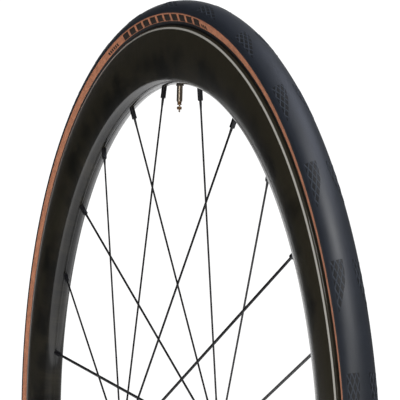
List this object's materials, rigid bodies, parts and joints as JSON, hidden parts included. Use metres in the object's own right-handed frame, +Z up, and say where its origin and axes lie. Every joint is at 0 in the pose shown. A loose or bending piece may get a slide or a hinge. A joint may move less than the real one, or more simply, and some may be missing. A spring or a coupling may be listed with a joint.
{
  "type": "bicycle tire on its wheel",
  "caption": "Slim road bicycle tire with tan sidewalls, mounted on a deep black spoked front wheel with a bare valve.",
  "frame": {"origin": "wheel centre, on the axle midway between the fork faces", "axes": "+Y along the axle towards the bicycle's left, +X forward, +Z up; the wheel spins about Y"},
  "size_m": [0.672, 0.111, 0.672],
  "materials": {
    "tread_rubber": "matt charcoal rubber",
    "casing_cord": "rubberised nylon cord",
    "liner_rubber": "smooth black rubber",
    "tan_sidewall": "tan rubberised cotton thread",
    "chafer_rubber": "matt black rubber",
    "bead_cord": "bundled aramid cord",
    "carbon_rim": "satin unidirectional carbon fibre laminate",
    "tape": "glossy adhesive tape",
    "valve_brass": "bronze-tinted brass",
    "black_steel": "satin black coated stainless steel",
    "black_alloy": "black anodised aluminium",
    "bare_alloy": "turned aluminium",
    "bearing_steel": "ground bearing steel",
    "cage_plastic": "moulded nylon"
  },
  "bodies": {
    "axle": {"axle": "bare_alloy", "end_cap_left": "black_alloy", "end_cap_right": "black_alloy", "bearing_inner_race_left": "bearing_steel", "bearing_inner_race_right": "bearing_steel"},
    "wheel": {"tread_cap": "tread_rubber", "breaker_belt": "casing_cord", "casing_ply_outer": "casing_cord", "casing_ply_inner": "casing_cord", "inner_liner": "liner_rubber", "sidewall_left": "tan_sidewall", "sidewall_right": "tan_sidewall", "chafer_left": "chafer_rubber", "chafer_right": "chafer_rubber", "bead_core_left": "bead_cord", "bead_core_right": "bead_cord", "rim": "carbon_rim", "rim_tape": "tape", "valve_stem": "valve_brass", "valve_grommet": "liner_rubber", "valve_ring_nut": "valve_brass", "valve_core": "valve_brass", "spoke_01": "black_steel", "spoke_02": "black_steel", "spoke_03": "black_steel", "spoke_04": "black_steel", "spoke_05": "black_steel", "spoke_06": "black_steel", "spoke_07": "black_steel", "spoke_08": "black_steel", "spoke_09": "black_steel", "spoke_10": "black_steel", "spoke_11": "black_steel", "spoke_12": "black_steel", "spoke_13": "black_steel", "spoke_14": "black_steel", "spoke_15": "black_steel", "spoke_16": "black_steel", "spoke_17": "black_steel", "spoke_18": "black_steel", "spoke_19": "black_steel", "spoke_20": "black_steel", "spoke_21": "black_steel", "spoke_22": "black_steel", "spoke_23": "black_steel", "spoke_24": "black_steel", "nipples_left": "black_alloy", "nipples_right": "black_alloy", "hub_shell": "black_alloy", "bearing_outer_race_left": "bearing_steel", "bearing_outer_race_right": "bearing_steel", "bearing_seal_left": "chafer_rubber", "bearing_seal_right": "chafer_rubber"},
    "ball_set_left": {"bearing_balls_left": "bearing_steel", "bearing_cage_left": "cage_plastic"},
    "ball_set_right": {"bearing_balls_right": "bearing_steel", "bearing_cage_right": "cage_plastic"},
    "valve_pin": {"valve_pin": "valve_brass"},
    "valve_lock_nut": {"valve_lock_nut": "valve_brass"}
  },
  "joints": [
    {"name": "wheel_spin", "type": "hinge", "parent": "axle", "child": "wheel", "pos_m": [0, 0, 0], "axis": [0, 1, 0], "continuous": true},
    {"name": "ball_set_left_spin", "type": "hinge", "parent": "axle", "child": "ball_set_left", "pos_m": [0, 0.0394, 0], "axis": [0, 1, 0], "continuous": true},
    {"name": "ball_set_right_spin", "type": "hinge", "parent": "axle", "child": "ball_set_right", "pos_m": [0, -0.0394, 0], "axis": [0, 1, 0], "continuous": true},
    {"name": "valve_press", "type": "slide", "parent": "wheel", "child": "valve_pin", "axis": [-0.0906, 0, 0.9959], "range_m": [0, 0.001], "stiffness_N_per_m": 600, "springref_m": -0.001},
    {"name": "valve_lock_nut_turn", "type": "hinge", "parent": "valve_pin", "child": "valve_lock_nut", "pos_m": [-0.0231, 0, 0.25385], "axis": [-0.0906, 0, 0.9959], "range_deg": [0, 1080]}
  ],
  "couplings": [
    {"joint": "ball_set_left_spin", "follows": "wheel_spin", "ratio": 0.59167},
    {"joint": "ball_set_right_spin", "follows": "wheel_spin", "ratio": 0.59167}
  ]
}
